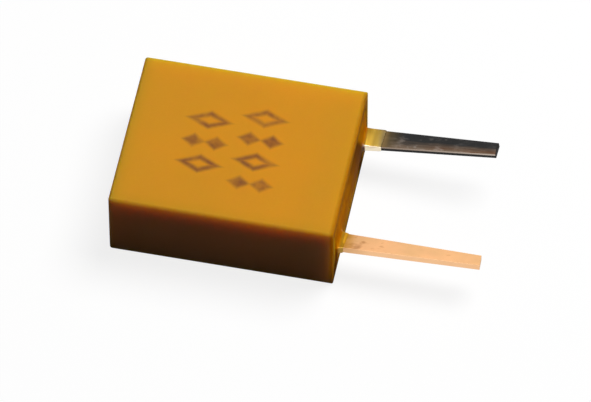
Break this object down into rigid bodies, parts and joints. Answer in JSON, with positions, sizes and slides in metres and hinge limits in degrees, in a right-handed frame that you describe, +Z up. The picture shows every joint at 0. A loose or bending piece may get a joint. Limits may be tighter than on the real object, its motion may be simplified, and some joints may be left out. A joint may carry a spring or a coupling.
{
  "type": "ceramic resonator",
  "caption": "Moulded amber box with flat leads from its resin-sealed end; inside, spring terminals pinch a piezoelectric plate that sets an oscillator's frequency.",
  "frame": {"origin": "centre of the case's underside, the broad face that it lies on", "axes": "+X along the leads, from the closed end of the case to the lead tips; +Y to the side of the far, upward-bent lead; +Z up from the surface it lies on"},
  "size_m": [0.0147, 0.0072, 0.0033],
  "materials": {
    "amber_case": "satin moulded amber thermoplastic",
    "potting_epoxy": "clear golden cast epoxy",
    "dark_lead": "tarnished copper alloy strip",
    "bright_lead": "bright copper alloy strip",
    "silvered_ceramic": "fired silver on grey-buff ceramic",
    "phenolic_plug": "punched phenolic sheet"
  },
  "bodies": {
    "root": {"case": "amber_case", "resin_seal": "potting_epoxy", "terminal_far": "dark_lead", "terminal_near": "bright_lead", "ceramic_plate": "silvered_ceramic", "base_plug": "phenolic_plug"}
  },
  "joints": []
}
